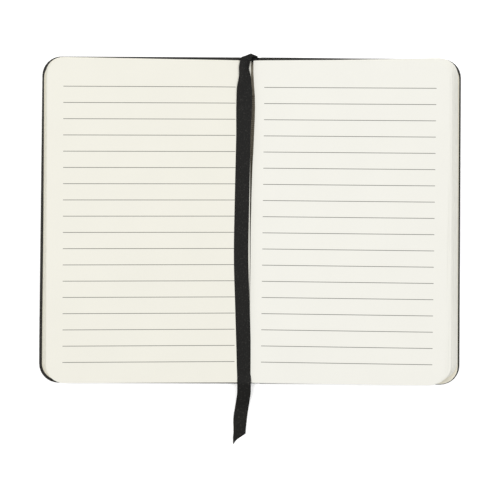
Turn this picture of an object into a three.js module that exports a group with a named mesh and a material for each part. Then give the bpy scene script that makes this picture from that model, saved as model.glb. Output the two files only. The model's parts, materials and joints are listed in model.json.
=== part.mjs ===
import * as THREE from 'three';

// A pocket notebook lying open on its covers. Millimetres: X to the right, Y to the head, Z up.
// The spine's centre is x = 0 and the surface that the covers lie on is z = 0.
// Every plate is named by where it lies: the front half is on the left, the back half on the right.

// Covers
const COVER_HEIGHT = 141.4;
const COVER_REACH = 91.1; // from the spine's centre to a cover's fore edge
const COVER_CORNER = 8.3;
const SKIN = 0.4;
const BOARD = 0.45;
const BOARD_INSET = 0.7; // how far the board stays inside the skin's edge
const PASTEDOWN_INSET = 0.9; // how far the pasted sheet stays inside the skin's edge

// Text block
const LEAF = 0.08;
const LEAVES_IN_SIGNATURE = 8;
const SIGNATURES_IN_HALF = 4;
const LOOSE_LEAVES = 3; // the top leaves of the back half, each hinged by itself
const HEAD_SQUARE = 1.35; // cover beyond the pages at head and tail
const FORE_SQUARE = 1.7; // cover beyond the lowest page at the fore edge
const PAGE_CORNER = 7.4;
const INNER_SPINE_EDGE = 1.0; // the top signature's folded edge, from the spine's centre
const FAN_DEGREES = [0.4, 0.9, 1.35, 1.8]; // how far each signature springs up, lowest first

// Spine
const SPINE_CARD = 0.3;
const SPINE_PAPER = 0.08;
const MULL = 0.1;
const THREAD = 0.15;
const SPINE_LAYER_SIDE_GAP = 0.2;
const SPINE_LAYER_END_GAP = 3; // the card and paper stop short of head and tail
const MULL_END_GAP = 9;
const STITCHES = 5;
const STITCH_SPREAD = 112; // from the first stitch to the last
const STITCH_LENGTH = 1.2;

// Gaps
const LAYER_GAP = 0.05; // between sheets that lie on each other
const CLOSED_GAP = 0.25; // between the back half's top leaf and the middle when shut
const BLOCK_SIDE_GAP = 0.15; // between the lowest fold and where the shut block's side stands
const HINGE_HEIGHT = 0.2; // the hinge line lies inside the skin
const HINGE_REACH = 0.35; // from the hinge line to a cover panel's inner edge
const HINGE_GAP = 0.2; // between the spine panel and a cover panel

// Ribbon
const RIBBON_WIDTH = 5.9;
const RIBBON = 0.25;
const RIBBON_EDGE = 0.06;
const RIBBON_STEPS = 76;

const CORNER_STEPS = 6;

const PAPER = { color: 0xefece0, roughness: 0.9, metalness: 0 };
const END_PAPER = { color: 0xe6e1cf, roughness: 0.9, metalness: 0 };
const CARD = { color: 0xb9ad94, roughness: 0.95, metalness: 0 };
const SYNTHETIC_LEATHER = { color: 0x262522, roughness: 0.6, metalness: 0 };
const GAUZE = { color: 0xe9e4d6, roughness: 1, metalness: 0 };
const LINEN_THREAD = { color: 0xf2efe6, roughness: 0.85, metalness: 0 };
const SATIN = { color: 0x1d1c1b, roughness: 0.5, metalness: 0 };

// Heights of the sheets in one half, from the surface up
const boardBottom = SKIN + LAYER_GAP;
const pastedownBottom = boardBottom + BOARD + LAYER_GAP;
const coverTop = pastedownBottom + LEAF;
const flyleafBottom = coverTop + LAYER_GAP;
const blockBottom = flyleafBottom + LEAF + LAYER_GAP;
const signatureThickness = LEAF * LEAVES_IN_SIGNATURE;
const signaturePitch = signatureThickness + LAYER_GAP;
const topSignatureBottom = blockBottom + (SIGNATURES_IN_HALF - 1) * signaturePitch;
const cutSignature = LEAF * (LEAVES_IN_SIGNATURE - LOOSE_LEAVES);
const looseBottom = topSignatureBottom + cutSignature + LAYER_GAP;
const blockTop = looseBottom + LOOSE_LEAVES * (LEAF + LAYER_GAP) - LAYER_GAP;

// Half the shut notebook's thickness sets where the hinge lines and panel edges are
const shutHalf = blockTop + CLOSED_GAP;
const panelEdge = shutHalf - HINGE_HEIGHT + HINGE_REACH;
const spinePanelHalf = panelEdge - HINGE_GAP;
const outerSpineEdge = shutHalf - coverTop - BLOCK_SIDE_GAP;
const spineLayerHalf = outerSpineEdge - SPINE_LAYER_SIDE_GAP;
const pageHeight = COVER_HEIGHT - 2 * HEAD_SQUARE;
const pageWidth = COVER_REACH - FORE_SQUARE - outerSpineEdge;

function named(name, geometry, finish) {
  const mesh = new THREE.Mesh(geometry, new THREE.MeshStandardMaterial(finish));
  mesh.name = name;
  return mesh;
}

// A plate from x = 0 to x = width, centred on y = 0, with its two far corners rounded.
// side is -1 for a plate that reaches to the left.
function halfPlate(width, height, corner, thickness, side) {
  const half = height / 2;
  const outline = new THREE.Shape();
  outline.moveTo(0, -half);
  outline.lineTo(side * (width - corner), -half);
  outline.absarc(side * (width - corner), corner - half, corner, -Math.PI / 2, side > 0 ? 0 : -Math.PI, side < 0);
  outline.absarc(side * (width - corner), half - corner, corner, side > 0 ? 0 : Math.PI, Math.PI / 2, side < 0);
  outline.lineTo(0, half);
  outline.closePath();
  return new THREE.ExtrudeGeometry(outline, {
    depth: thickness,
    bevelEnabled: false,
    curveSegments: CORNER_STEPS,
  });
}

function flatBox(width, height, thickness) {
  return new THREE.BoxGeometry(width, height, thickness);
}

// A cover panel's three layers: skin, board and pasted end sheet.
function cover(prefix, side) {
  const panel = new THREE.Group();
  const layer = (name, inset, thickness, bottom, finish) => {
    const width = COVER_REACH - panelEdge - 2 * inset;
    const height = COVER_HEIGHT - 2 * inset;
    const mesh = named(name, halfPlate(width, height, COVER_CORNER - inset, thickness, side), finish);
    mesh.position.set(side * (panelEdge + inset), 0, bottom);
    panel.add(mesh);
  };
  layer(`${prefix}_cover_skin`, 0, SKIN, 0, SYNTHETIC_LEATHER);
  layer(`${prefix}_cover_board`, BOARD_INSET, BOARD, boardBottom, CARD);
  layer(`${prefix}_pastedown`, PASTEDOWN_INSET, LEAF, pastedownBottom, END_PAPER);
  return panel;
}

// Where a signature's folded edge lies: the lowest is furthest from the spine's centre.
function spineEdge(level) {
  const share = level / (SIGNATURES_IN_HALF - 1);
  return outerSpineEdge + (INNER_SPINE_EDGE - outerSpineEdge) * share;
}

// A group that springs up from a folded edge at the given level of one half.
function sprungStack(level, side) {
  const stack = new THREE.Group();
  stack.position.set(side * spineEdge(level), 0, blockBottom + level * signaturePitch);
  stack.rotation.y = -side * THREE.MathUtils.degToRad(FAN_DEGREES[level]);
  return stack;
}

function sheet(name, thickness, height, side, finish) {
  const mesh = named(name, halfPlate(pageWidth, pageHeight, PAGE_CORNER, thickness, side), finish);
  mesh.position.z = height;
  return mesh;
}

// Signatures count from the front cover, so the front half's rise and the back half's fall.
function signatureName(level, side) {
  const number = side < 0 ? level + 1 : 2 * SIGNATURES_IN_HALF - level;
  return `signature_${number}`;
}

function halfBlock(side, looseLeaves) {
  const block = new THREE.Group();
  for (let level = 0; level < SIGNATURES_IN_HALF; level += 1) {
    const isTop = level === SIGNATURES_IN_HALF - 1;
    const leaves = LEAVES_IN_SIGNATURE - (isTop ? looseLeaves : 0);
    const stack = sprungStack(level, side);
    stack.add(sheet(signatureName(level, side), leaves * LEAF, 0, side, PAPER));
    block.add(stack);
    if (level === 0) {
      const name = side < 0 ? 'front_flyleaf' : 'back_flyleaf';
      stack.add(sheet(name, LEAF, -LEAF - LAYER_GAP, side, END_PAPER));
    }
    for (let i = 0; isTop && i < looseLeaves; i += 1) {
      const height = leaves * LEAF + LAYER_GAP + (looseLeaves - 1 - i) * (LEAF + LAYER_GAP);
      const number = SIGNATURES_IN_HALF * LEAVES_IN_SIGNATURE + 1 + i;
      stack.add(sheet(`leaf_${number}`, LEAF, height, side, PAPER));
    }
  }
  return block;
}

// The spine: outer skin, stiffening card, lining paper, gauze, and the thread that links the folds.
function spine() {
  const group = new THREE.Group();
  let bottom = 0;
  const layer = (name, halfWidth, height, thickness, finish) => {
    const mesh = named(name, flatBox(2 * halfWidth, height, thickness), finish);
    mesh.position.z = bottom + thickness / 2;
    bottom += thickness + LAYER_GAP;
    group.add(mesh);
  };
  const cardHeight = COVER_HEIGHT - 2 * SPINE_LAYER_END_GAP;
  layer('spine_cover_skin', spinePanelHalf, COVER_HEIGHT, SKIN, SYNTHETIC_LEATHER);
  layer('spine_card', spineLayerHalf, cardHeight, SPINE_CARD, CARD);
  layer('spine_lining_paper', spineLayerHalf, cardHeight, SPINE_PAPER, END_PAPER);
  layer('spine_mull', spineLayerHalf, COVER_HEIGHT - 2 * MULL_END_GAP, MULL, GAUZE);
  for (let i = 0; i < STITCHES; i += 1) {
    const stitch = named(`link_stitch_${i + 1}`, flatBox(2 * spineLayerHalf, STITCH_LENGTH, THREAD), LINEN_THREAD);
    const along = i / (STITCHES - 1) - 0.5;
    stitch.position.set(0, along * STITCH_SPREAD, bottom + THREAD / 2);
    group.add(stitch);
  }
  return group;
}

// The ribbon is glued under the folds, comes up over the head, and lies down the front half's
// gutter to a tail on the surface beyond the tail edge. It turns and falls without drifting
// sideways, so that the strip isn't twisted.
function ribbonRoute() {
  return [
    [0, 60, 1.46],
    [0, 66, 1.48],
    [0, 70.2, 1.62],
    [0, 71.5, 2.4],
    [0, 71.7, 3.5],
    [0, 70.9, 4.4],
    [0, 69.6, 4.68],
    [-0.6, 68.2, 4.6],
    [-2.0, 65.0, 4.42],
    [-2.6, 60.0, 4.34],
    [-2.75, 52.0, 4.33],
    [-3.05, 34.0, 4.33],
    [-3.5, 8.0, 4.33],
    [-3.75, -15.4, 4.33],
    [-3.1, -36.2, 4.33],
    [-2.4, -56.9, 4.33],
    [-2.2, -67.3, 4.34],
    [-2.2, -71.0, 4.12],
    [-2.2, -74.4, 2.9],
    [-2.2, -77.6, 1.4],
    [-2.2, -80.8, 0.42],
    [-2.5, -84.2, 0.18],
    [-4.1, -96.0, 0.17],
  ].map(([x, y, z]) => new THREE.Vector3(x, y, z));
}

function ribbon() {
  const halfWidth = RIBBON_WIDTH / 2;
  const half = RIBBON / 2;
  const section = new THREE.Shape([
    new THREE.Vector2(-halfWidth + RIBBON_EDGE, -half),
    new THREE.Vector2(halfWidth - RIBBON_EDGE, -half),
    new THREE.Vector2(halfWidth, -half + RIBBON_EDGE),
    new THREE.Vector2(halfWidth, half - RIBBON_EDGE),
    new THREE.Vector2(halfWidth - RIBBON_EDGE, half),
    new THREE.Vector2(-halfWidth + RIBBON_EDGE, half),
    new THREE.Vector2(-halfWidth, half - RIBBON_EDGE),
    new THREE.Vector2(-halfWidth, -half + RIBBON_EDGE),
  ]);
  const route = new THREE.CatmullRomCurve3(ribbonRoute(), false, 'centripetal');
  const strip = new THREE.ExtrudeGeometry(section, { steps: RIBBON_STEPS, extrudePath: route, bevelEnabled: false });
  return named('ribbon_bookmark', strip, SATIN);
}

const notebook = new THREE.Group();
notebook.add(spine());
notebook.add(cover('front', -1));
notebook.add(cover('back', 1));
notebook.add(halfBlock(-1, 0));
notebook.add(halfBlock(1, LOOSE_LEAVES));
notebook.add(ribbon());

export default notebook;
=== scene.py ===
import json
import math
import random

import bmesh
import bpy
from bpy.props import FloatProperty, FloatVectorProperty, IntProperty, PointerProperty
from mathutils import Matrix, Vector

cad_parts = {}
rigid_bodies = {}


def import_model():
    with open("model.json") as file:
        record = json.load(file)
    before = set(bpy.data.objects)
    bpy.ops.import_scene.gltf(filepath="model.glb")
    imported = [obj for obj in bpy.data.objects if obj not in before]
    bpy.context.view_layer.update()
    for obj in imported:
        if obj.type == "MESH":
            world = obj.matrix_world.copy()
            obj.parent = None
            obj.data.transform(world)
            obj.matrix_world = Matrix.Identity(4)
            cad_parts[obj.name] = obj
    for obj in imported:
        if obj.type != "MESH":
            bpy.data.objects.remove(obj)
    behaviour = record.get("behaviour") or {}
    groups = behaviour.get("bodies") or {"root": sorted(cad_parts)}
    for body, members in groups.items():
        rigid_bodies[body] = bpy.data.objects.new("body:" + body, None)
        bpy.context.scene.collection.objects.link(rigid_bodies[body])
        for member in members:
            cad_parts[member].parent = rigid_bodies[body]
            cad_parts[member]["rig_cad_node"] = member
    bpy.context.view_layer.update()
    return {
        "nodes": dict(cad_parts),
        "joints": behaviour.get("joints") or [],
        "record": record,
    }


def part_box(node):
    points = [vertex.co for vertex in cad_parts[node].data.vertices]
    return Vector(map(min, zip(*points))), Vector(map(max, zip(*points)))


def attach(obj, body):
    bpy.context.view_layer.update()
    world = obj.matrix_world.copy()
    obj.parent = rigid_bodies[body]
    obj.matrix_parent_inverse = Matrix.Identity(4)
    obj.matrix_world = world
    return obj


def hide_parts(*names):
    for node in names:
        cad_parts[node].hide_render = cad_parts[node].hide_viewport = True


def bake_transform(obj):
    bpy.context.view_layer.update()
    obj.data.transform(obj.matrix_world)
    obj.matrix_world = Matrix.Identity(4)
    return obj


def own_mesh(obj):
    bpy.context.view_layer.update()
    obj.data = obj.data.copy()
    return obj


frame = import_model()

bl_info = {
    "name": "Open pocket notebook",
    "version": (1, 0, 0),
    "blender": (4, 5, 0),
    "location": "3D View > Sidebar > Notebook",
    "description": "Makes a pocket notebook lying open: flexible covers, sprung leaves and a ribbon",
    "category": "Add Mesh",
}

MM = 0.001
SIGNATURES_IN_HALF = 4
LEAVES_IN_SIGNATURE = 8
CUT_SIGNATURE = 5  # the signature that gives up its loose leaves
# The loose leaves, top leaf of the back half first: skew in degrees, slip and sink in millimetres
LOOSE_LEAVES = {33: (0.58, -0.7, 0.25), 34: (0.3, -0.35, 0.2), 35: (0.12, -0.15, 0.12)}
LEFT, RIGHT = -1, 1
# The back half's paper is a whiter copy of the front half's: painted light, as that half catches more light
PAPERS = {LEFT: "ruled_paper", RIGHT: "ruled_paper_felt_side"}


def height_of(node):
    low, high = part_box(node)
    return high.y - low.y


def fold_turn(number):
    """How far a signature turns, in radians, when its cover turns a quarter."""
    couplings = frame["record"]["behaviour"]["couplings"]
    found = next(c for c in couplings if c["joint"] == f"signature_{number}_fold")
    return found["ratio"] * math.pi / 2


class SignatureFrame:
    """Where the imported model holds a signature: its folded edge and how far it springs up."""

    def __init__(self, number):
        self.number = number
        self.side = LEFT if number <= SIGNATURES_IN_HALF else RIGHT
        low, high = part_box(f"signature_{number}")
        self.fold = -high.x if self.side == LEFT else low.x
        self.base = low.z
        self.rise = math.pi / 2 - fold_turn(number)
        reach = -low.x if self.side == LEFT else high.x
        self.width = (reach - self.fold) / math.cos(self.rise)


SIGNATURES = {n: SignatureFrame(n) for n in range(1, 2 * SIGNATURES_IN_HALF + 1)}
COVER_LOW, COVER_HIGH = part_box("back_cover_skin")
HINGE = Vector(next(j["pos_m"] for j in frame["joints"] if j["name"] == "back_cover_hinge"))


# ---- sizes and colours


def size_of(name, description, default, subtype="DISTANCE", unit="LENGTH"):
    texts = {"name": name, "description": description}
    return FloatProperty(**texts, default=default, subtype=subtype, unit=unit)


def angle_of(name, description, default):
    return size_of(name, description, default, "ANGLE", "ROTATION")


def colour_of(name, description, default):
    texts = {"name": name, "description": description}
    return FloatVectorProperty(**texts, default=default, subtype="COLOR", min=0, max=1)


class NotebookPages(bpy.types.PropertyGroup):
    leaf: size_of("Leaf thickness", "Thickness of one leaf", 0.08 * MM)
    corner: size_of("Corner radius", "Radius of the rounded fore-edge corners of the leaves", 7.4 * MM)
    drop: size_of("Drop", "How far the leaves sit towards the tail inside the covers", 0.35 * MM)
    trim: size_of(
        "Trim", "How much shorter the leaves are cut than the room between the covers' squares", 0.2 * MM
    )
    fan_share: FloatProperty(
        name="Fan share",
        description="How much of the step between signatures is spread over their leaves",
        default=0.6,
        min=0,
        max=1,
    )
    dip: size_of("Gutter dip", "How far the top leaves bend down into the gutter", 0.95 * MM)
    head_dip: FloatProperty(
        name="Gutter dip at the head",
        description="How much deeper the left leaves bend down near the ribbon's head, as a share",
        default=0.8,
        min=0,
    )
    dip_reach: size_of(
        "Gutter dip reach", "Distance over which a leaf recovers from the gutter dip", 1.9 * MM
    )
    wave: size_of("Wave", "Height of the slight waves in the leaves", 0.05 * MM)
    paper: colour_of("Paper", "Colour of the front half's leaves", (0.83, 0.815, 0.735))
    # A whiter copy of the paper: painted light for the back half, which catches more light
    painted_light_side: colour_of(
        "Paper, felt side",
        "Colour of the back half's leaves, which show the paper's whiter side",
        (0.842, 0.834, 0.776),
    )
    end_paper: colour_of("End paper", "Colour of the pastedowns and flyleaves", (0.80, 0.765, 0.645))


class NotebookRules(bpy.types.PropertyGroup):
    count: IntProperty(name="Rules", description="Number of ruled lines on a page", default=18, min=1)
    pitch: size_of("Pitch", "Distance between ruled lines", 6.945 * MM)
    first: size_of("First rule", "Height of the first ruled line above the middle of the page", 57.85 * MM)
    start: size_of("Start", "Where the rules start, from the gutter", 6.55 * MM)
    end: size_of("End", "Where the rules end, from the gutter", 80.1 * MM)
    width: size_of("Width", "Width of a ruled line", 0.25 * MM)
    ink: colour_of("Ink", "Colour of the ruled lines", (0.09, 0.09, 0.082))


class NotebookCovers(bpy.types.PropertyGroup):
    corner: size_of("Corner radius", "Radius of the covers' rounded corners", 8.3 * MM)
    thickness: size_of("Thickness", "Thickness of a cover without its pastedown", 0.93 * MM)
    skin: size_of("Skin", "Thickness of the skin alone, at the spine and the hinges", 0.4 * MM)
    front_inset: size_of(
        "Front end paper's inset", "How far the front pastedown stays inside the cover's edge", 1.3 * MM
    )
    back_inset: size_of(
        "Back end paper's inset", "How far the back pastedown stays inside the cover's edge", 0.8 * MM
    )
    slant: angle_of("Slant", "How far the front cover's fore edge is off square", math.radians(0.38))
    edge: size_of("Edge radius", "Radius of the turned edge", 0.3 * MM)
    colour: colour_of("Colour", "Colour of the synthetic leather", (0.0135, 0.0125, 0.0100))


class NotebookRibbon(bpy.types.PropertyGroup):
    width: size_of("Width", "Width of the ribbon", 5.9 * MM)
    thickness: size_of("Thickness", "Thickness of the ribbon", 0.22 * MM)
    cut: size_of(
        "Slant of the cut",
        "How much further the tail's end reaches on one edge than on the other",
        4.6 * MM,
    )
    colour: colour_of("Colour", "Colour of the ribbon", (0.0054, 0.0052, 0.0046))


class NotebookStage(bpy.types.PropertyGroup):
    height: size_of("Camera height", "Height of the camera above the surface", 0.4)
    across: size_of("Width in view", "Width of the surface that the camera takes in", 0.2172)
    roll: angle_of("Roll", "How far the camera is turned about its own line of sight", math.radians(0.3))
    floor: colour_of("Floor", "Colour of the surface", (0.97, 0.97, 0.97))


# ---- shaders


class Shade:
    """One output of a shader node. Python's operators on it add Math nodes."""

    def __init__(self, tree, output=None):
        self.tree = tree
        self.output = output

    def node(self, kind, settings=None, values=None, output=0):
        """Adds a node, sets its settings first and then its sockets, and returns one output."""
        made = self.tree.nodes.new(kind)
        for name, value in (settings or {}).items():
            if name == "stops":
                set_stops(made.color_ramp, value)
            else:
                setattr(made, name, value)
        for name, value in (values or {}).items():
            if isinstance(value, Shade):
                self.tree.links.new(value.output, made.inputs[name])
            else:
                made.inputs[name].default_value = value
        return Shade(self.tree, made.outputs[output])

    def math(self, operation, *values):
        return self.node("ShaderNodeMath", {"operation": operation}, dict(enumerate(values)))

    def __add__(self, other):
        return self.math("ADD", self, other)

    __radd__ = __add__

    def __mul__(self, other):
        return self.math("MULTIPLY", self, other)

    __rmul__ = __mul__

    def __sub__(self, other):
        return self.math("SUBTRACT", self, other)

    def __rsub__(self, other):
        return self.math("SUBTRACT", other, self)

    def __truediv__(self, other):
        return self.math("DIVIDE", self, other)

    def __rtruediv__(self, other):
        return self.math("DIVIDE", other, self)

    def band(self, low, high):
        """0 below low, 1 above high, and a smooth step between them."""
        settings = {"interpolation_type": "SMOOTHSTEP"}
        values = {"Value": self, "From Min": low, "From Max": high}
        return self.node("ShaderNodeMapRange", settings, values)


def set_stops(ramp, stops):
    while len(ramp.elements) < len(stops):
        ramp.elements.new(0.5)
    for element, (place, colour) in zip(ramp.elements, stops):
        element.position = place
        element.color = (*colour, 1)


def start_material(name, roughness, **sockets):
    """Returns a material with one Principled shader, that shader, and a Shade to build from."""
    material = bpy.data.materials.new(name)
    material.use_nodes = True
    shader = material.node_tree.nodes["Principled BSDF"]
    shader.inputs["Roughness"].default_value = roughness
    for socket, value in sockets.items():
        shader.inputs[socket.replace("_", " ")].default_value = value
    return material, shader, Shade(material.node_tree)


def join(shader, socket, shade):
    shade.tree.links.new(shade.output, shader.inputs[socket])


MIX_COLOURS, MIX_RESULT = (6, 7), 2  # the colour sockets among a Mix node's inputs and outputs


def mixed(factor, first, second):
    """A colour between two, each of them a colour or a Shade."""
    settings = {"data_type": "RGBA"}
    made = factor.node("ShaderNodeMix", settings, {"Factor": factor}, output=MIX_RESULT)
    node = made.output.node
    for index, value in zip(MIX_COLOURS, (first, second)):
        if isinstance(value, Shade):
            made.tree.links.new(value.output, node.inputs[index])
        else:
            node.inputs[index].default_value = (*value, 1)
    return made


def bumped(shader, height, distance, strength=1.0):
    values = {"Height": height, "Distance": distance, "Strength": strength}
    join(shader, "Normal", height.node("ShaderNodeBump", None, values))


def object_point(shade):
    return shade.node("ShaderNodeTexCoord", output="Object")


def noise(shade, point, scale, detail=2.0, roughness=0.5):
    values = {"Vector": point, "Scale": scale, "Detail": detail, "Roughness": roughness}
    return shade.node("ShaderNodeTexNoise", None, values, output="Fac")


def stretched(shade, point, scale):
    return shade.node("ShaderNodeMapping", None, {"Vector": point, "Scale": scale})


def across_and_along(shade, point):
    """The X and Y parts of a point."""
    across = shade.node("ShaderNodeSeparateXYZ", None, {"Vector": point}, output="X")
    return across, Shade(shade.tree, across.output.node.outputs["Y"])


def sine(distance, length):
    """A wave between -1 and 1 that repeats after each length."""
    turn = distance * (2 * math.pi / length)
    return turn.math("SINE", turn)


def scaled(colour, factor):
    return [factor * c for c in colour]


def paper_tone(shade, colour):
    """Paper's own colour, mottled by its fibres and clouded a little over the sheet."""
    point = object_point(shade)
    fibres = noise(shade, stretched(shade, point, (1.0, 0.45, 1.0)), 2600, 3)
    clouds = noise(shade, point, 60, 2)
    darker = scaled(colour, 0.955)
    lighter = [min(1.0, c) for c in scaled(colour, 1.012)]
    return mixed(fibres * 0.45 + clouds * 0.55, darker, lighter), fibres


def ruled_paper(side, pages, rules):
    name, colour = PAPERS[side], pages.paper if side == LEFT else pages.painted_light_side
    material, shader, shade = start_material(name, 0.86, Specular_IOR_Level=0.3)
    tone, fibres = paper_tone(shade, colour)
    across, along = across_and_along(shade, shade.node("ShaderNodeUVMap", {"uv_map": "page"}))
    step = (rules.first / PAGE_UNIT - along) / (rules.pitch / PAGE_UNIT)
    from_rule = (step + 0.5).math("FRACT", step + 0.5) - 0.5
    distance = from_rule.math("ABSOLUTE", from_rule) * rules.pitch
    blur = 0.35 * rules.width
    half = rules.width / 2
    line = 1 - distance.band(half - blur, half + blur)
    started = across.band((rules.start - blur) / PAGE_UNIT, (rules.start + blur) / PAGE_UNIT)
    ended = across.band((rules.end - blur) / PAGE_UNIT, (rules.end + blur) / PAGE_UNIT)
    # The rules are counted from half a step above the first one to half a step below the last
    past_first = step.band(-0.5, -0.49)
    past_last = step.band(rules.count - 0.51, rules.count - 0.5)
    inside = started * (1 - ended) * past_first * (1 - past_last)
    uneven = 0.82 + 0.3 * noise(shade, object_point(shade), 3200, 2)
    join(shader, "Base Color", mixed(line * inside * uneven, tone, rules.ink))
    bumped(shader, fibres, 0.02 * MM, 0.35)
    return material


def end_paper_material(pages):
    material, shader, shade = start_material("ivory_end_paper", 0.84, Specular_IOR_Level=0.3)
    tone, fibres = paper_tone(shade, pages.end_paper)
    join(shader, "Base Color", tone)
    bumped(shader, fibres, 0.025 * MM, 0.4)
    return material


def synthetic_leather(covers):
    """Fine pebbled grain with shallow creases, painted shade in the hollows between the pebbles, and a
    little polish on the high spots.
    """
    material, shader, shade = start_material("synthetic_leather", 0.55, Specular_IOR_Level=0.32)
    point = object_point(shade)
    settings = {"feature": "DISTANCE_TO_EDGE"}
    values = {"Vector": point, "Scale": 1500.0}
    cells = shade.node("ShaderNodeTexVoronoi", settings, values, output="Distance")
    pebbles = cells.band(0.0, 0.25)
    swell = noise(shade, point, 900, 2)
    pores = noise(shade, point, 5200, 2)
    creases = noise(shade, stretched(shade, point, (1.0, 0.6, 1.0)), 240, 4, 0.6)
    grain = pebbles * 0.6 + swell * 0.3 + pores * 0.15
    wear = creases.band(0.52, 0.75)
    worn = [c + 0.004 for c in scaled(covers.colour, 1.55)]
    # Darker between the pebbles: painted shade in the grain's hollows
    shaded_hollows = scaled(covers.colour, 0.72)
    tone = mixed(wear * 0.5, mixed(pebbles, shaded_hollows, covers.colour), worn)
    join(shader, "Base Color", tone)
    join(shader, "Roughness", 0.62 - 0.12 * pebbles - 0.08 * wear)
    bumped(shader, grain + creases * 0.4, 0.06 * MM, 0.8)
    return material


RIB_PITCH, YARN_PITCH = 0.42, 0.16  # along and across the ribbon, in millimetres


def ribbon_weave(ribbon):
    """Fine cross ribs and lengthwise yarns, read from the ribbon's own width and length. Its colour is
    painted shade in the weave's grooves, painted highlight on its ribs and light flecks of painted glint.
    """
    material, shader, shade = start_material("ribbon_weave", 0.6, Specular_IOR_Level=0.17)
    across, along = across_and_along(shade, shade.node("ShaderNodeUVMap", {"uv_map": "weave"}))
    ribs = sine(along, RIB_PITCH) * 0.5 + 0.5
    yarns = sine(across, YARN_PITCH) * 0.5 + 0.5
    weave = ribs * 0.6 + yarns * (0.25 + 0.15 * ribs)
    fuzz = noise(shade, object_point(shade), 4200, 3)
    # Light flecks: painted glints of the fibres' sheen
    flecks = noise(shade, object_point(shade), 1750, 3, 0.6).band(0.54, 0.72)
    cloth = weave * 0.7 + fuzz * 0.3 + flecks * 0.5
    # Dark in the weave's grooves and light on its ribs: painted shade and painted highlight, over a random
    # fuzz of tone
    thread = mixed(cloth, scaled(ribbon.colour, 0.25), scaled(ribbon.colour, 2.2))
    join(shader, "Base Color", mixed(flecks * 0.75, thread, scaled(ribbon.colour, 7.5)))
    join(shader, "Roughness", 0.62 - 0.14 * ribs)
    bumped(shader, cloth, 0.05 * MM, 0.7)
    return material


# Colours of the pieces inside the spine, the darker one first
CARD_COLOURS = (0.33, 0.29, 0.21), (0.56, 0.50, 0.38)
# The kraft's brown is darkened to olive grey: painted shade for the narrow crease between the pages
KRAFT_CREASE_SHADE_COLOURS = (0.24, 0.215, 0.165), (0.36, 0.325, 0.255)
# The gauze's gaps and threads are dark olive: painted shade for the crease between the pages
GAUZE_CREASE_SHADE_COLOURS = (0.20, 0.175, 0.13), (0.36, 0.325, 0.255)
THREAD_COLOURS = (0.62, 0.58, 0.48), (0.90, 0.88, 0.80)
GAUZE_PITCH = 0.9 * MM  # between its threads
PLY_PITCH = 0.35 * MM  # between the plies of the sewing thread


def grey_card():
    material, shader, shade = start_material("grey_card", 0.92)
    point = object_point(shade)
    flecks = noise(shade, point, 1500, 4, 0.7)
    layers = noise(shade, stretched(shade, point, (1.0, 1.0, 14.0)), 700, 2)
    join(shader, "Base Color", mixed(flecks * 0.6 + layers * 0.4, *CARD_COLOURS))
    bumped(shader, flecks, 0.05 * MM, 0.6)
    return material


def shaded_kraft_lining():
    # Kraft brown darkened as painted shade for the crease between the pages
    material, shader, shade = start_material("shaded_kraft_lining", 0.85)
    point = object_point(shade)
    fibres = noise(shade, stretched(shade, point, (1.0, 0.2, 1.0)), 1800, 3)
    join(shader, "Base Color", mixed(fibres, *KRAFT_CREASE_SHADE_COLOURS))
    bumped(shader, fibres, 0.03 * MM, 0.5)
    return material


def gauze_weave():
    """Open gauze: two sets of threads about a millimetre apart, coloured dark olive as painted shade for
    the crease between the pages.
    """
    material, shader, shade = start_material("crease_shaded_gauze", 0.9)
    across, along = across_and_along(shade, object_point(shade))
    warp, weft = sine(across, GAUZE_PITCH), sine(along, GAUZE_PITCH)
    threads = warp.math("MAXIMUM", warp, weft).band(0.2, 0.9)
    join(shader, "Base Color", mixed(threads, *GAUZE_CREASE_SHADE_COLOURS))
    bumped(shader, threads, 0.08 * MM, 0.9)
    return material


def waxed_thread():
    material, shader, shade = start_material("waxed_thread", 0.6, Sheen_Weight=0.2)
    across, along = across_and_along(shade, object_point(shade))
    ply = sine(across + along, PLY_PITCH) * 0.5 + 0.5
    join(shader, "Base Color", mixed(ply, *THREAD_COLOURS))
    bumped(shader, ply, 0.04 * MM, 0.8)
    return material


def surface_finish(stage):
    material, shader, shade = start_material("surface", 0.75, Specular_IOR_Level=0.2, Emission_Strength=0.3)
    shader.inputs["Emission Color"].default_value = (1, 1, 1, 1)
    cloud = noise(shade, object_point(shade), 8, 2)
    join(shader, "Base Color", mixed(cloud, scaled(stage.floor, 0.992), stage.floor))
    return material


def material(name, make, *settings):
    """A material by name, made the first time it is asked for."""
    return bpy.data.materials.get(name) or make(*settings)


def paper_of(side):
    scene = bpy.context.scene
    return material(PAPERS[side], ruled_paper, side, scene.notebook_pages, scene.notebook_rules)


# ---- meshes

PAGE_UNIT = 0.1  # one unit of the page map, in metres
CORNER_STEPS, RIM_STEPS = 8, 3
SHARP_ANGLE = math.radians(35)
FINE_ROWS, COARSE_ROWS = 28, 12  # of a top leaf, and of the leaves below it
NEAR_GUTTER = (0.5, 1.0, 1.6, 2.3, 3.1, 4.2, 5.6, 7.6, 10.5, 15.0)  # columns of a leaf, in mm
FURTHER_OUT = (23, 32, 42, 53, 64, 74)


def cut(bm, point, normal):
    geometry = bm.verts[:] + bm.edges[:] + bm.faces[:]
    bmesh.ops.bisect_plane(bm, geom=geometry, dist=1e-7, plane_co=point, plane_no=normal)


def bevel(bm, geometry, radius, affect, segments, **more):
    more |= {"affect": affect, "segments": segments, "profile": 0.5, "material": -1}
    bmesh.ops.bevel(bm, geom=geometry, offset=radius, offset_type="OFFSET", **more)


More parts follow.
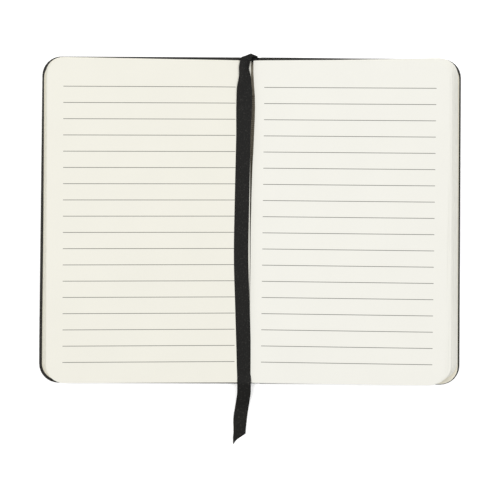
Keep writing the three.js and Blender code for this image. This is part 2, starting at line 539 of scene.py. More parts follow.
def half_sheet(width, height, corner, columns, rows):
    """A flat sheet from x = 0 to width with two rounded far corners, cut into columns and rows."""
    bm = bmesh.new()
    bmesh.ops.create_grid(bm, x_segments=1, y_segments=1, size=0.5)
    bmesh.ops.scale(bm, vec=(width, height, 1), verts=bm.verts)
    bmesh.ops.translate(bm, vec=(width / 2, 0, 0), verts=bm.verts)
    far = [v for v in bm.verts if v.co.x > width / 2]
    bevel(bm, far, corner, "VERTICES", CORNER_STEPS)
    for x in columns:
        cut(bm, (x, 0, 0), (1, 0, 0))
    for y in rows:
        cut(bm, (0, y, 0), (0, 1, 0))
    return bm


def even_rows(height, count):
    return [height * (i / count - 0.5) for i in range(1, count)]


def face_out(bm):
    bmesh.ops.recalc_face_normals(bm, faces=bm.faces)


def new_piece(name, bm, finish):
    """An object at the origin that holds this bmesh, with smooth shading across soft edges."""
    mesh = bpy.data.meshes.new(name)
    bm.to_mesh(mesh)
    bm.free()
    mesh.materials.append(finish)
    mesh.shade_smooth()
    mesh.set_sharp_from_angle(angle=SHARP_ANGLE)
    piece = bpy.data.objects.new(name, mesh)
    bpy.context.scene.collection.objects.link(piece)
    return piece


# Where the two top leaves meet: height on the page, the crease's place across, and its width, in mm
CREASE = (
    (-70, 0.1, 0.12),
    (-50, 0.1, 0.12),
    (-36, 0.12, 0.3),
    (-17, 0.2, 0.45),
    (-4, 0.15, 0.55),
    (9, 0.3, 0.7),
    (22, 0.45, 0.95),
    (30, 0.64, 1.38),
    (39, 0.79, 1.78),
    (46, 0.9, 2.0),
    (52, 0.96, 2.12),
    (57, 0.75, 1.7),
    (63, 0.6, 1.1),
    (69, 0.62, 1.0),
)


def crease_at(y):
    """The crease's place and width at a height on the page, in metres."""
    height = min(max(y / MM, CREASE[0][0]), CREASE[-1][0])
    for below, above in zip(CREASE, CREASE[1:]):
        if height <= above[0]:
            break
    share = smooth_step(height, below[0], above[0])
    return [MM * (low + share * (high - low)) for low, high in zip(below[1:], above[1:])]


def smooth_step(value, low, high):
    t = min(1.0, max(0.0, (value - low) / (high - low)))
    return t * t * (3 - 2 * t)


def mix(low, high, share):
    return low + (high - low) * share


FOLD_DRAW = 0.3 * MM  # how far inside its fold a top leaf starts
CREASE_GAP = 0.15 * MM  # between the crease and a leaf that doesn't meet it
CREASE_START = 0.75 * MM  # how far inside its fold it starts if it does
DEEP_FROM, DEEP_TO = 38 * MM, 58 * MM  # where on the page the dip grows deeper
DIP_POWER = 1.6  # above 1 the lower leaves dip less
DEEP_REACH = 1.6  # how much further it reaches there, as a share


class Leaf:
    """One leaf's place: distances are from the spine's centre, heights from the surface."""

    def __init__(self, side, fold, base, rise, share, seed):
        self.side = side
        self.fold = fold
        self.base = base
        self.rise = rise
        self.share = share  # 0 for the lowest leaf of its half, 1 for the top one
        self.skew = 0.0
        self.lift = 0.0  # how far its outer end is shifted towards the head
        self.lift_curve = 1.0  # more than 1 for a shift that grows towards the outer end
        self.slip = 0.0  # how far the leaf is shifted away from the spine
        self.sink = 0.0  # how far the whole leaf is shifted towards the tail
        self.trim = 0.0  # how much less its fore edge reaches
        self.turn_share = 1.0  # how much of its skew also lowers its outer end
        self.meets_crease = False
        self.draw = random.Random(seed).uniform

    def start(self):
        """Distance at which the flat sheet starts."""
        return self.fold - CREASE_START if self.meets_crease else self.inner(0)

    def inner(self, y):
        """Distance of the inner edge from the spine's centre."""
        place, width = crease_at(y)
        edge = self.side * place + width / 2
        if self.meets_crease:
            return edge
        return max(self.fold - FOLD_DRAW * self.share, edge + CREASE_GAP)

    def height(self, distance, y, pages):
        """Height of the leaf's lower face."""
        deeper = smooth_step(y, DEEP_FROM, DEEP_TO) if self.side == LEFT else 0.0
        sunk = pages.dip * self.share**DIP_POWER * (1 + pages.head_dip * deeper)
        reach = pages.dip_reach * (1 + DEEP_REACH * deeper)
        sunk *= math.exp(-max(0.0, distance - self.inner(y)) / reach)
        return self.base + (distance - self.fold) * math.tan(self.rise) - sunk


# How the leaves of each half are fanned out
SPREAD = [math.radians(d) for d in (0.34, 0.42, 0.42, 0.3)]  # in each signature, lowest first
SKEWS = {LEFT: (-0.32, 0.1), RIGHT: (-0.16, 0.05)}  # of the lowest and top leaf, in degrees
LIFTS = {LEFT: 0.85 * MM, RIGHT: 1.4 * MM}  # of the lowest leaf
LIFT_CURVES = {LEFT: 1.0, RIGHT: 1.3}
SLIPS = {LEFT: -0.9 * MM, RIGHT: 0.1 * MM}  # of the lowest leaf
TOP_TRIM = 1.2 * MM  # how much less the top leaf of the right half reaches


def half_leaf(number, side):
    """The leaf at a place in one half, counted from the cover up, as its packed signature has it."""
    level, within = divmod(number, LEAVES_IN_SIGNATURE)
    signature = SIGNATURES[level + 1 if side == LEFT else 2 * SIGNATURES_IN_HALF - level]
    pages = bpy.context.scene.notebook_pages
    centred = (within + 0.5) / LEAVES_IN_SIGNATURE - 0.5
    outer, inner = SIGNATURES[1].fold, SIGNATURES[SIGNATURES_IN_HALF].fold
    step = (outer - inner) / (SIGNATURES_IN_HALF - 1)
    share = number / (SIGNATURES_IN_HALF * LEAVES_IN_SIGNATURE - 1)
    leaf = Leaf(
        side,
        signature.fold - centred * step * pages.fan_share,
        signature.base + within * pages.leaf,
        signature.rise + centred * SPREAD[level],
        share,
        number + 100 * (side + 1),
    )
    leaf.skew = math.radians(mix(*SKEWS[side], share**2))
    leaf.lift = LIFTS[side] * (1 - share**3)
    leaf.slip = SLIPS[side] * (1 - share)
    leaf.lift_curve = LIFT_CURVES[side]
    if side == RIGHT:
        leaf.trim = TOP_TRIM * share
    return leaf


LEAF_HANG = 60 * MM  # a skewed leaf turns about this height on its folded edge
PRINT_SKEW = {LEFT: math.radians(0.22), RIGHT: math.radians(0.15)}  # of the rules on the leaf
CREASE_REACH = 14 * MM  # how far from the crease a leaf gives way to it
SKEW_FROM, SKEW_TO = -4 * MM, 12 * MM  # across the leaf, where its skew sets in
SHIFT_REACH = 6 * MM  # across it, where its random shift is full
RANDOM_X, RANDOM_Y = 0.06, 0.08  # furthest random shifts, in millimetres
RANDOM_TILT = math.radians(0.03)
WAVE_PHASE, WAVE_LENGTH = (0, 6.28), (45, 80)  # in radians and millimetres
LOOSE_TURN_SHARE = 0.25


def lay(bm, leaf, pages):
    """Shapes a flat sheet as a leaf lies at rest, and gives it its thickness and its page map."""
    start = leaf.start()
    shift_x = leaf.draw(-RANDOM_X, RANDOM_X) * MM + leaf.slip
    shift_y = leaf.draw(-RANDOM_Y, RANDOM_Y) * MM
    tilt = leaf.draw(-1, 1) * RANDOM_TILT
    phase = leaf.draw(*WAVE_PHASE)
    length = leaf.draw(*WAVE_LENGTH) * MM
    width = max(v.co.x for v in bm.verts)
    page_map = bm.loops.layers.uv.new("page")
    for v in bm.verts:
        x, y = v.co.x, v.co.y
        reach = x / width
        give = 1 - smooth_step(x, 0, CREASE_REACH)
        distance = start + x + (leaf.inner(y) - start) * give
        for loop in v.link_loops:
            print_shift = distance * math.tan(PRINT_SKEW[leaf.side])
            loop[page_map].uv = (distance / PAGE_UNIT, (y + print_shift) / PAGE_UNIT)
        turn = leaf.skew * smooth_step(x, SKEW_FROM, SKEW_TO)
        settled = smooth_step(x, 0, SHIFT_REACH)
        flat_x = distance + shift_x * settled + (y - LEAF_HANG) * math.tan(turn)
        flat_y = y - pages.drop + shift_y - leaf.sink + leaf.lift * reach**leaf.lift_curve
        flat_y -= x * math.sin(leaf.skew) * leaf.turn_share
        flat_y += y * math.sin(tilt) * reach
        wave = pages.wave * reach * math.sin(2 * math.pi * y / length + phase)
        v.co = (flat_x, flat_y, leaf.height(distance, y, pages) + wave)
    bmesh.ops.solidify(bm, geom=bm.faces[:], thickness=-pages.leaf)
    if leaf.side == LEFT:
        bmesh.ops.scale(bm, vec=(-1, 1, 1), verts=bm.verts)
    face_out(bm)


def leaf_sheet(leaf, pages, fine=False):
    width = SIGNATURES[1].width + leaf.fold - leaf.start() - leaf.trim
    columns = [x * MM for x in NEAR_GUTTER + FURTHER_OUT]
    height = height_of("signature_1") - pages.trim
    rows = even_rows(height, FINE_ROWS if fine else COARSE_ROWS)
    bm = half_sheet(width, height, pages.corner, columns, rows)
    lay(bm, leaf, pages)
    return bm


def add_to(whole, bm):
    """Adds a finished bmesh to another one and frees it."""
    mesh = bpy.data.meshes.new("part")
    bm.to_mesh(mesh)
    bm.free()
    whole.from_mesh(mesh)
    bpy.data.meshes.remove(mesh)


def stack(leaves, pages):
    """Several leaves as one bmesh."""
    whole = bmesh.new()
    for leaf in leaves:
        add_to(whole, leaf_sheet(leaf, pages))
    return whole


# ---- ribbon route

RIBBON_ROUTE = [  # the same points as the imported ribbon's, in millimetres
    (0, 60, 1.46),
    (0, 66, 1.48),
    (0, 70.2, 1.62),
    (0, 71.5, 2.4),
    (0, 71.7, 3.5),
    (0, 70.9, 4.4),
    (0, 69.6, 4.68),
    (-0.6, 68.2, 4.6),
    (-2.0, 65.0, 4.42),
    (-2.6, 60.0, 4.34),
    (-2.75, 52.0, 4.33),
    (-3.05, 34.0, 4.33),
    (-3.5, 8.0, 4.33),
    (-3.75, -15.4, 4.33),
    (-3.1, -36.2, 4.33),
    (-2.4, -56.9, 4.33),
    (-2.2, -67.3, 4.34),
    (-2.2, -71.0, 4.12),
    (-2.2, -74.4, 2.9),
    (-2.2, -77.6, 1.4),
    (-2.2, -80.8, 0.42),
    (-2.5, -84.2, 0.18),
    (-4.1, -96.0, 0.17),
]
HEAD_POINT, PAGE_POINT, FREE_POINT, TABLE_POINT = 4, 6, 16, 21  # of the route
ROUTE_STEPS = 8  # between two points
ACROSS_STEPS = 10

# Stretches of the ribbon, which set in between their first two places and fade between their last
# two. A place is a point of the route and a distance past it, in millimetres.
GATHERED = (HEAD_POINT, -1), (PAGE_POINT, 0), (PAGE_POINT, 3), (PAGE_POINT, 15)
ASIDE = (HEAD_POINT, -0.2), (PAGE_POINT, -0.3), (PAGE_POINT, -0.3), (PAGE_POINT, 9)
AT_HEAD = (HEAD_POINT, -3), (HEAD_POINT, 0), (HEAD_POINT, 0), (PAGE_POINT, 0)
WIDE = (PAGE_POINT, 6), (PAGE_POINT, 20), (FREE_POINT, -6), (FREE_POINT, 2)
BULGING = (PAGE_POINT, 8), (PAGE_POINT, 14), (PAGE_POINT, 22), (PAGE_POINT, 34)
ON_PAGE = (PAGE_POINT, -0.5), (PAGE_POINT, 4), (FREE_POINT, -1), (FREE_POINT, 3)
GATHER, WIDENING, BULGE = 0.22, 0.06, 0.08  # of the width, as shares
ASIDE_SHIFT = 2.1 * MM  # to the left
HEAD_RISE, HEAD_SAG = 0.25, 2.4  # of the fold's middle and edges, in mm
PLEAT, PLEAT_SINK = 0.75, 0.35  # of the gathered ribbon, in mm
OFF_PAGE, OFF_PAGE_LENGTH = 1.0 * MM, 26 * MM  # past the head
CROWN, CLEARANCE = 0.12 * MM, 0.03 * MM
GUTTER_EDGE, GUTTER_SAG = 1.6 * MM, 0.1 * MM  # it spans the gutter
TAIL_CURL, TAIL_TURNS = 0.22 * MM, 0.9  # of the waves across it
CUT_LENGTH, CUT_BACK, CUT_TIP = 12 * MM, 0.7 * MM, 1.0 * MM  # of the slanting cut
END_LENGTH, END_TURN = 3 * MM, 0.5 * MM  # of the very end, to one side
SWING = 1.15 * MM  # of the tail, to the left
SWING_FROM, SWING_TO = 73 * MM, 84 * MM
BACK_FROM, BACK_TO, BACK_SHARE = 85 * MM, 93 * MM, 0.75


def smooth_route(points):
    """Points on a smooth curve through the given ones."""
    ends = [2 * points[0] - points[1], *points, 2 * points[-1] - points[-2]]
    curve = []
    for before, start, end, after in zip(ends, ends[1:], ends[2:], ends[3:]):
        for i in range(ROUTE_STEPS):
            t = i / ROUTE_STEPS
            spread = end - start
            leaving, arriving = (end - before) / 2, (after - start) / 2
            bend = 2 * (start - end) + leaving + arriving
            turning = 3 * spread - 2 * leaving - arriving
            curve.append(start + t * leaving + t * t * turning + t**3 * bend)
    curve.append(points[-1])
    return curve


def share_of(stretch, place, lengths):
    """How fully a stretch of the ribbon has set in at a place along it, from 0 to 1."""
    ends = [lengths[point * ROUTE_STEPS] + past * MM for point, past in stretch]
    return smooth_step(place, *ends[:2]) * (1 - smooth_step(place, *ends[2:]))


# ---- operators


FLOOR_HALF, FLOOR_DROP = 1.6, 0.1 * MM
CAMERA_SHIFT = -0.059  # how far the notebook sits above the middle of the view
ROOM_LIGHT = 0.49
LAMPS = (  # name, place, size, power, colour
    ("key", (-0.9, 0.45, 1.85), 1.0, 18.3, (1.0, 0.99, 0.965)),
    ("fill", (1.15, 0.3, 1.75), 1.6, 15.4, (0.985, 0.99, 1.0)),
)


class NOTEBOOK_OT_stage(bpy.types.Operator):
    """Makes the surface, the lights and the camera"""

    bl_idname = "notebook.stage"
    bl_label = "Stage"

    def execute(self, context):
        stage = context.scene.notebook_stage
        bm = bmesh.new()
        bmesh.ops.create_grid(bm, x_segments=2, y_segments=2, size=FLOOR_HALF)
        bmesh.ops.translate(bm, vec=(0, 0, -FLOOR_DROP), verts=bm.verts)
        floor = new_piece("floor", bm, material("surface", surface_finish, stage))
        self.camera(context, stage)
        self.lights(context)
        return {"FINISHED"}

    def camera(self, context, stage):
        camera = bpy.data.cameras.new("camera")
        camera.sensor_width = 36
        camera.lens = camera.sensor_width * stage.height / stage.across
        camera.shift_y = CAMERA_SHIFT
        camera.clip_start = 0.01
        holder = bpy.data.objects.new("camera", camera)
        place = Matrix.Translation((0, 0, stage.height))
        holder.matrix_world = place @ Matrix.Rotation(stage.roll, 4, "Z")
        context.scene.collection.objects.link(holder)
        context.scene.camera = holder

    def lights(self, context):
        for name, place, size, power, colour in LAMPS:
            lamp = bpy.data.lights.new(name, "AREA")
            lamp.shape = "DISK"
            lamp.size = size
            lamp.energy = power
            lamp.color = colour
            holder = bpy.data.objects.new(name, lamp)
            aim = Vector(place).to_track_quat("Z", "Y").to_matrix().to_4x4()
            holder.matrix_world = Matrix.Translation(place) @ aim
            context.scene.collection.objects.link(holder)
        world = bpy.data.worlds.new("room")
        world.use_nodes = True
        background = world.node_tree.nodes["Background"]
        background.inputs["Color"].default_value = (1, 1, 1, 1)
        background.inputs["Strength"].default_value = ROOM_LIGHT
        context.scene.world = world
        context.scene.view_settings.view_transform = "Standard"


class NOTEBOOK_OT_ribbon(bpy.types.Operator):
    """Makes the ribbon bookmark from its glued start under the folds to its tail"""

    bl_idname = "notebook.ribbon"
    bl_label = "Ribbon bookmark"

    def execute(self, context):
        ribbon = context.scene.notebook_ribbon
        route = smooth_route([Vector(p) * MM for p in RIBBON_ROUTE])
        lengths = [0.0]
        for a, b in zip(route, route[1:]):
            lengths.append(lengths[-1] + (b - a).length)
        bm = self.strip(route, lengths, ribbon, context.scene.notebook_pages)
        piece = new_piece("ribbon", bm, material("ribbon_weave", ribbon_weave, ribbon))
        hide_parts("ribbon_bookmark")
        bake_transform(piece)
        return {"FINISHED"}

    def strip(self, route, lengths, ribbon, pages):
        rows = len(route) - 1
        bm = bmesh.new()
        bmesh.ops.create_grid(bm, x_segments=ACROSS_STEPS, y_segments=rows, size=0.5)
        weave = bm.loops.layers.uv.new("weave")
        for face in bm.faces:
            for loop in face.loops:
                x, y, _ = loop.vert.co
                loop[weave].uv = (x * ribbon.width / MM, lengths[round((y + 0.5) * rows)] / MM)
        top_leaf = left_top_leaf()
        for v in bm.verts:
            u, row = v.co.x, round((v.co.y + 0.5) * rows)
            point = self.on_route(u, row, route, lengths, ribbon)
            self.shape_end(point, u, lengths[-1] - lengths[row], ribbon)
            self.settle(point, u, lengths[row], lengths, top_leaf, pages)
            v.co = point
        bmesh.ops.solidify(bm, geom=bm.faces[:], thickness=ribbon.thickness)
        face_out(bm)
        return bm

    def on_route(self, u, row, route, lengths, ribbon):
        """A point u across the ribbon, from -0.5 to 0.5, at a row of the route."""
        place = lengths[row]
        ahead = route[min(row + 1, len(route) - 1)] - route[max(row - 1, 0)]
        along = ahead.normalized()
        sideways = (Vector((1, 0, 0)) - along.x * along).normalized()
        narrow = 1 - GATHER * share_of(GATHERED, place, lengths)
        spread = 1 + WIDENING * share_of(WIDE, place, lengths) + BULGE * share_of(BULGING, place, lengths)
        point = route[row] + sideways * u * ribbon.width * narrow * spread
        point.x -= ASIDE_SHIFT * share_of(ASIDE, place, lengths)
        point.y += share_of(AT_HEAD, place, lengths) * MM * (HEAD_RISE - HEAD_SAG * abs(u))
        return point

    def shape_end(self, point, u, remaining, ribbon):
        """Cuts the tail on a slant, turns its end aside and lets it sway past the tail edge."""
        at_end = 1 - smooth_step(remaining, 0.0, CUT_LENGTH)
        tip = max(0.0, (-u - 0.2) / 0.3) ** 2
        point.y += at_end * (ribbon.cut * (u + 0.5) - CUT_BACK - CUT_TIP * tip)
        point.x += (1 - smooth_step(remaining, 0.0, END_LENGTH)) * END_TURN * (0.5 - u)
        swing = smooth_step(-point.y, SWING_FROM, SWING_TO)
        point.x -= SWING * swing * (1 - BACK_SHARE * smooth_step(-point.y, BACK_FROM, BACK_TO))

    def settle(self, point, u, place, lengths, top_leaf, pages):
        """Lays a point on the left page, or curls it where the tail lies on the table."""
        page, free, table = (lengths[i * ROUTE_STEPS] for i in (PAGE_POINT, FREE_POINT, TABLE_POINT))
        gathered = share_of(GATHERED, place, lengths)
        pleat = gathered * MM * (PLEAT * math.cos(math.pi * u) - PLEAT_SINK)
        lie = top_leaf.height(max(-point.x, top_leaf.inner(point.y)), point.y, pages) + pages.leaf
        lie = max(lie, top_leaf.height(GUTTER_EDGE, point.y, pages) - GUTTER_SAG)
        lie += OFF_PAGE * (1 - smooth_step(place, page, page + OFF_PAGE_LENGTH))
        lie += pleat + CROWN * (1 - 4 * u * u) + CLEARANCE
        point.z = mix(point.z + pleat, lie, share_of(ON_PAGE, place, lengths))
        on_table = smooth_step(place, free + 6 * MM, table)
        point.z += on_table * TAIL_CURL * (1 - math.cos(2 * math.pi * u * TAIL_TURNS))


def left_top_leaf():
    leaf = half_leaf(SIGNATURES_IN_HALF * LEAVES_IN_SIGNATURE - 1, LEFT)
    leaf.meets_crease = True
    return leaf


NEAR_HINGE = (-0.6, -0.4, -0.2, 0, 0.2, 0.4, 0.7, 1.2, 3)  # columns of a cover, in mm from its hinge
COVER_COLUMNS = (15, 30, 45, 60, 75)
COVER_ROWS = 14
BOARD_FROM, BOARD_TO = 0.35 * MM, 0.75 * MM  # past the hinge, the board's edge
GROOVE, GROOVE_HALF = 0.09 * MM, 0.5 * MM  # under the hinge: depth, half width
RIM_ANGLE, RIM_RISE = math.radians(60), 0.4 * MM  # a rim edge is sharper, and rises less
HEAD_FALL, FALL_FROM, FALL_TO = 0.22 * MM, 12 * MM, 50 * MM  # of the back cover's head edge
SLANT_HANG = 50 * MM  # the front cover's slant starts here, below the middle


class NOTEBOOK_OT_covers(bpy.types.Operator):
    """Makes the two halves of the continuous cover skin, split along the middle of the spine"""

    bl_idname = "notebook.covers"
    bl_label = "Covers"

    def execute(self, context):
        covers = context.scene.notebook_covers
        finish = material("synthetic_leather", synthetic_leather, covers)
        for side, half, nodes in (
            (LEFT, "front", ("front_cover_skin", "front_cover_board", "spine_cover_skin")),
            (RIGHT, "back", ("back_cover_skin", "back_cover_board")),
        ):
            bm = self.wrap(covers)
            turn_to_side(bm, side, covers)
            piece = new_piece(f"{half}_cover_and_half_spine", bm, finish)
            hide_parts(*nodes)
            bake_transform(piece)
        return {"FINISHED"}

    def wrap(self, covers):
        width, height = COVER_HIGH.x, COVER_HIGH.y - COVER_LOW.y
        crease = HINGE.x
        near = [crease + x * MM for x in NEAR_HINGE]
        columns = [2 * MM, *near, *(x * MM for x in COVER_COLUMNS)]
        bm = half_sheet(width, height, covers.corner, columns, even_rows(height, COVER_ROWS))
        bmesh.ops.solidify(bm, geom=bm.faces[:], thickness=-covers.thickness)
        for v in bm.verts:
            if v.co.z > covers.thickness / 2:
                board = smooth_step(v.co.x, crease + BOARD_FROM, crease + BOARD_TO)
                v.co.z = covers.skin + board * (covers.thickness - covers.skin)
            else:
                v.co.z = GROOVE * max(0.0, 1 - abs(v.co.x - crease) / GROOVE_HALF)
        face_out(bm)
        rim = [e for e in bm.edges if self.on_rim(e)]
        bevel(bm, rim, covers.edge, "EDGES", RIM_STEPS, clamp_overlap=True)
        return bm

    def on_rim(self, edge):
        if len(edge.link_faces) != 2 or all(v.co.x < 1e-6 for v in edge.verts):
            return False
        if edge.calc_face_angle() < RIM_ANGLE:
            return False
        return abs(edge.verts[0].co.z - edge.verts[1].co.z) < RIM_RISE


def turn_to_side(bm, side, covers):
    """Puts the edges that are off square in place, and mirrors a left-hand piece."""
    if side == RIGHT:
        for v in bm.verts:
            fall = smooth_step(v.co.x, FALL_FROM, FALL_TO) * max(0.0, v.co.y) / COVER_HIGH.y
            v.co.y -= HEAD_FALL * fall
        return
    for v in bm.verts:
        above = max(0.0, v.co.y + SLANT_HANG)
        v.co.x -= v.co.x / COVER_HIGH.x * math.tan(covers.slant) * above
    bmesh.ops.scale(bm, vec=(-1, 1, 1), verts=bm.verts)
    face_out(bm)


SHEET_COLUMNS = (10, 25, 40, 55, 70)  # of a pastedown, in millimetres
SHEET_ROWS = 12
BACK_SHEET_DROP = 0.5 * MM  # towards the tail
FLYLEAF_RISE = 0.5  # as a share of its signature's
FLYLEAF_SEED = 900


class NOTEBOOK_OT_end_papers(bpy.types.Operator):
    """Makes the two pastedowns and the two flyleaves"""

    bl_idname = "notebook.end_papers"
    bl_label = "End papers"

    def execute(self, context):
        pages = context.scene.notebook_pages
        covers = context.scene.notebook_covers
        finish = material("ivory_end_paper", end_paper_material, pages)
        for half, side, number in (("front", LEFT, 1), ("back", RIGHT, 2 * SIGNATURES_IN_HALF)):
            inset = covers.front_inset if side == LEFT else covers.back_inset
            bm = self.pastedown(half, inset, covers)
            turn_to_side(bm, side, covers)
            if side == RIGHT:
                bmesh.ops.translate(bm, verts=bm.verts, vec=(0, -BACK_SHEET_DROP, 0))
            piece = new_piece(f"{half}_pasted_sheet", bm, finish)
            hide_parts(f"{half}_pastedown")
            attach(piece, f"{half}_cover")
            signature = SIGNATURES[number]
            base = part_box(f"{half}_flyleaf")[0].z
            rise = signature.rise * FLYLEAF_RISE
            leaf = Leaf(side, signature.fold, base, rise, 0.0, FLYLEAF_SEED + number)
            piece = new_piece(f"{half}_flyleaf_sheet", leaf_sheet(leaf, pages), finish)
            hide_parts(f"{half}_flyleaf")
            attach(piece, f"signature_{number}")
        return {"FINISHED"}

    def pastedown(self, half, inset, covers):
        low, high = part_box(f"{half}_pastedown")
        near = min(abs(low.x), abs(high.x))
        reach, height = COVER_HIGH.x - inset, COVER_HIGH.y - COVER_LOW.y
        bm = half_sheet(
            reach - near,
            height - 2 * inset,
            covers.corner - inset,
            [x * MM for x in SHEET_COLUMNS],
            even_rows(height, SHEET_ROWS),
        )
        bmesh.ops.translate(bm, verts=bm.verts, vec=(near, 0, low.z))
        bmesh.ops.solidify(bm, geom=bm.faces[:], thickness=-(high.z - low.z))
        face_out(bm)
        return bm


def finish_node(node, finish):
    """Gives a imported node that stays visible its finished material."""
    objects = bpy.context.scene.objects
    found = next(o for o in objects if o.get("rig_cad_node") == node or o.name == node)
    found.data.materials.clear()
    found.data.materials.append(finish)


class NOTEBOOK_OT_signatures(bpy.types.Operator):
    """Makes the eight signatures as separate leaves"""

    bl_idname = "notebook.signatures"
    bl_label = "Signatures"

    def execute(self, context):
        pages = context.scene.notebook_pages
        for number, signature in SIGNATURES.items():
            side = signature.side
            level = number - 1 if side == LEFT else 2 * SIGNATURES_IN_HALF - number
            count = LEAVES_IN_SIGNATURE
            if number == SIGNATURES_IN_HALF:
                count -= 1
            elif number == CUT_SIGNATURE:
                count -= len(LOOSE_LEAVES)
            first = level * LEAVES_IN_SIGNATURE
            leaves = [half_leaf(first + i, side) for i in range(count)]
            piece = new_piece(f"signature_{number}_leaves", stack(leaves, pages), paper_of(side))
            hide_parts(f"signature_{number}")
            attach(piece, f"signature_{number}")
            middle = signature.base + 0.5 * LEAVES_IN_SIGNATURE * pages.leaf
            side * signature.fold
            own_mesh(piece)
        return {"FINISHED"}


# From one loose leaf to the one above it
LOOSE_FOLD_STEP = 0.07 * MM
LOOSE_RISE_STEP = 0.02  # degrees
LOOSE_SHARE, LOOSE_SHARE_STEP = 0.94, 0.02


class NOTEBOOK_OT_open_pages(bpy.types.Operator):
    """Makes the left page and the loose leaves of the right one"""

    bl_idname = "notebook.open_pages"
    bl_label = "Open pages"

    def execute(self, context):
        pages = context.scene.notebook_pages
        self.left_page(pages, paper_of(LEFT))
        self.loose_leaves(pages, paper_of(RIGHT))
        return {"FINISHED"}

    def left_page(self, pages, finish):
        piece = new_piece("left_page", leaf_sheet(left_top_leaf(), pages, fine=True), finish)
        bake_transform(piece)

    def loose_leaves(self, pages, finish):
        cut_signature = SIGNATURES[CUT_SIGNATURE]
        for i, (number, (skew, slip, sink)) in enumerate(LOOSE_LEAVES.items()):
            above = len(LOOSE_LEAVES) - i
            leaf = Leaf(
                RIGHT,
                cut_signature.fold - LOOSE_FOLD_STEP * above,
                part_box(f"leaf_{number}")[0].z,
                cut_signature.rise + math.radians(LOOSE_RISE_STEP * above),
                LOOSE_SHARE + LOOSE_SHARE_STEP * above,
                number,
            )
            leaf.meets_crease = True
            leaf.slip = slip * MM
            leaf.skew = math.radians(skew)
            leaf.sink = sink * MM
            leaf.trim = TOP_TRIM
            leaf.turn_share = LOOSE_TURN_SHARE
            piece = new_piece(f"leaf_{number}_sheet", leaf_sheet(leaf, pages, fine=True), finish)
            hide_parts(f"leaf_{number}")
            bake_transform(piece)


PATCH_HALF, PATCH_TAIL, PATCH_HEAD = 1.9 * MM, 54 * MM, 68.4 * MM
PATCH_BOTTOM, PATCH_THICKNESS = 1.55 * MM, 0.06 * MM
PATCH_EDGE, PATCH_LIP, PATCH_LIP_LENGTH = 0.2 * MM, 0.3 * MM, 3 * MM  # its edges bend down
THREAD_SIDES, THREAD_CUTS, THREAD_LAY = 8, 40, 1.1 * MM  # the plies turn once in each lay


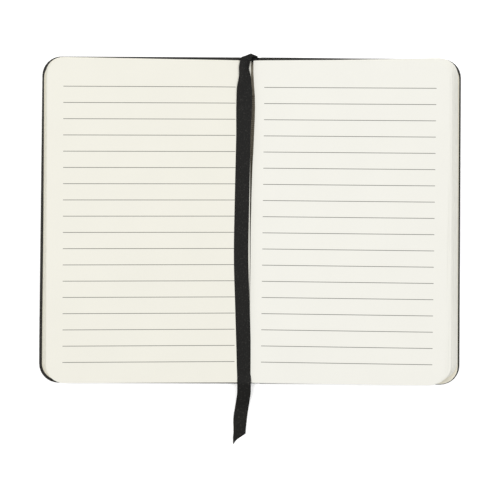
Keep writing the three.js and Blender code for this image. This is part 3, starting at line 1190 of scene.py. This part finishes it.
class NOTEBOOK_OT_spine_layers(bpy.types.Operator):
    """Finishes the card, paper and gauze in the spine, and makes the threads and the patch"""

    bl_idname = "notebook.spine_layers"
    bl_label = "Spine layers"

    def execute(self, context):
        finish_node("spine_card", material("grey_card", grey_card))
        # The lining paper shows in the crease between the pages; its dark colour is painted shade for that
        # crease
        finish_node("spine_lining_paper", material("shaded_kraft_lining", shaded_kraft_lining))
        # The gauze's dark colours are painted shade for the same crease
        finish_node("spine_mull", material("crease_shaded_gauze", gauze_weave))
        finish = material("waxed_thread", waxed_thread)
        station = 1
        while f"link_stitch_{station}" in frame["nodes"]:
            node = f"link_stitch_{station}"
            piece = new_piece(f"link_thread_{station}", self.stitch(node), finish)
            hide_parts(node)
            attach(piece, "spine")
            station += 1
        # The patch shares the darkened kraft colour: painted shade for the crease at the head
        piece = new_piece("ribbon_patch", self.patch(), material("shaded_kraft_lining", shaded_kraft_lining))
        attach(piece, "spine")
        return {"FINISHED"}

    def patch(self):
        """The paper strip over the ribbon's glued start."""
        bm = bmesh.new()
        bmesh.ops.create_grid(bm, x_segments=6, y_segments=8, size=0.5)
        bmesh.ops.scale(bm, vec=(2 * PATCH_HALF, PATCH_HEAD - PATCH_TAIL, 1), verts=bm.verts)
        middle = (PATCH_HEAD + PATCH_TAIL) / 2
        bmesh.ops.translate(bm, vec=(0, middle, PATCH_BOTTOM), verts=bm.verts)
        bmesh.ops.solidify(bm, geom=bm.faces[:], thickness=-PATCH_THICKNESS)
        for v in bm.verts:
            edge = smooth_step(abs(v.co.x), 0.85 * PATCH_HALF, PATCH_HALF) * PATCH_EDGE
            lip = 1 - smooth_step(v.co.y, PATCH_TAIL, PATCH_TAIL + PATCH_LIP_LENGTH)
            v.co.z -= edge + PATCH_LIP * lip
        face_out(bm)
        return bm

    def stitch(self, node):
        """Two plies twisted round each other, which lie across the folds."""
        low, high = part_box(node)
        ply = (high.z - low.z) / 4
        whole = bmesh.new()
        for start in (0, math.pi):
            bm = bmesh.new()
            size = {"segments": THREAD_SIDES, "depth": high.x - low.x}
            bmesh.ops.create_cone(bm, cap_ends=True, radius1=ply, radius2=ply, **size)
            sides = [e for e in bm.edges if abs(e.verts[0].co.z - e.verts[1].co.z) > ply]
            bmesh.ops.subdivide_edges(bm, edges=sides, cuts=THREAD_CUTS)
            bmesh.ops.rotate(bm, verts=bm.verts, matrix=Matrix.Rotation(math.pi / 2, 3, "Y"))
            for v in bm.verts:
                turn = start + 2 * math.pi * v.co.x / THREAD_LAY
                v.co += Vector((0, ply * math.cos(turn), ply * math.sin(turn)))
            add_to(whole, bm)
        bmesh.ops.translate(whole, verts=whole.verts, vec=(low + high) / 2)
        face_out(whole)
        return whole


class NOTEBOOK_PT_panel(bpy.types.Panel):
    """Lists the notebook's pieces and its sizes"""

    bl_idname = "NOTEBOOK_PT_panel"
    bl_label = "Pocket notebook"
    bl_space_type = "VIEW_3D"
    bl_region_type = "UI"
    bl_category = "Notebook"

    def draw(self, context):
        for operator in OPERATORS:
            self.layout.operator(operator.bl_idname)
        for name, group in SETTINGS.items():
            box = self.layout.box()
            settings = getattr(context.scene, name)
            for value in group.__annotations__:
                box.prop(settings, value)


SETTINGS = {
    "notebook_pages": NotebookPages,
    "notebook_rules": NotebookRules,
    "notebook_covers": NotebookCovers,
    "notebook_ribbon": NotebookRibbon,
    "notebook_stage": NotebookStage,
}
OPERATORS = (
    NOTEBOOK_OT_stage,
    NOTEBOOK_OT_ribbon,
    NOTEBOOK_OT_covers,
    NOTEBOOK_OT_end_papers,
    NOTEBOOK_OT_signatures,
    NOTEBOOK_OT_open_pages,
    NOTEBOOK_OT_spine_layers,
)


def register():
    for name, group in SETTINGS.items():
        bpy.utils.register_class(group)
        setattr(bpy.types.Scene, name, PointerProperty(type=group))
    for operator in OPERATORS:
        bpy.utils.register_class(operator)
    bpy.utils.register_class(NOTEBOOK_PT_panel)


def unregister():
    bpy.utils.unregister_class(NOTEBOOK_PT_panel)
    for operator in reversed(OPERATORS):
        bpy.utils.unregister_class(operator)
    for name, group in SETTINGS.items():
        delattr(bpy.types.Scene, name)
        bpy.utils.unregister_class(group)


def main():
    register()
    bpy.ops.notebook.stage()
    bpy.ops.notebook.ribbon()
    bpy.ops.notebook.covers()
    bpy.ops.notebook.end_papers()
    bpy.ops.notebook.signatures()
    bpy.ops.notebook.open_pages()
    bpy.ops.notebook.spine_layers()


if __name__ == "__main__":
    main()
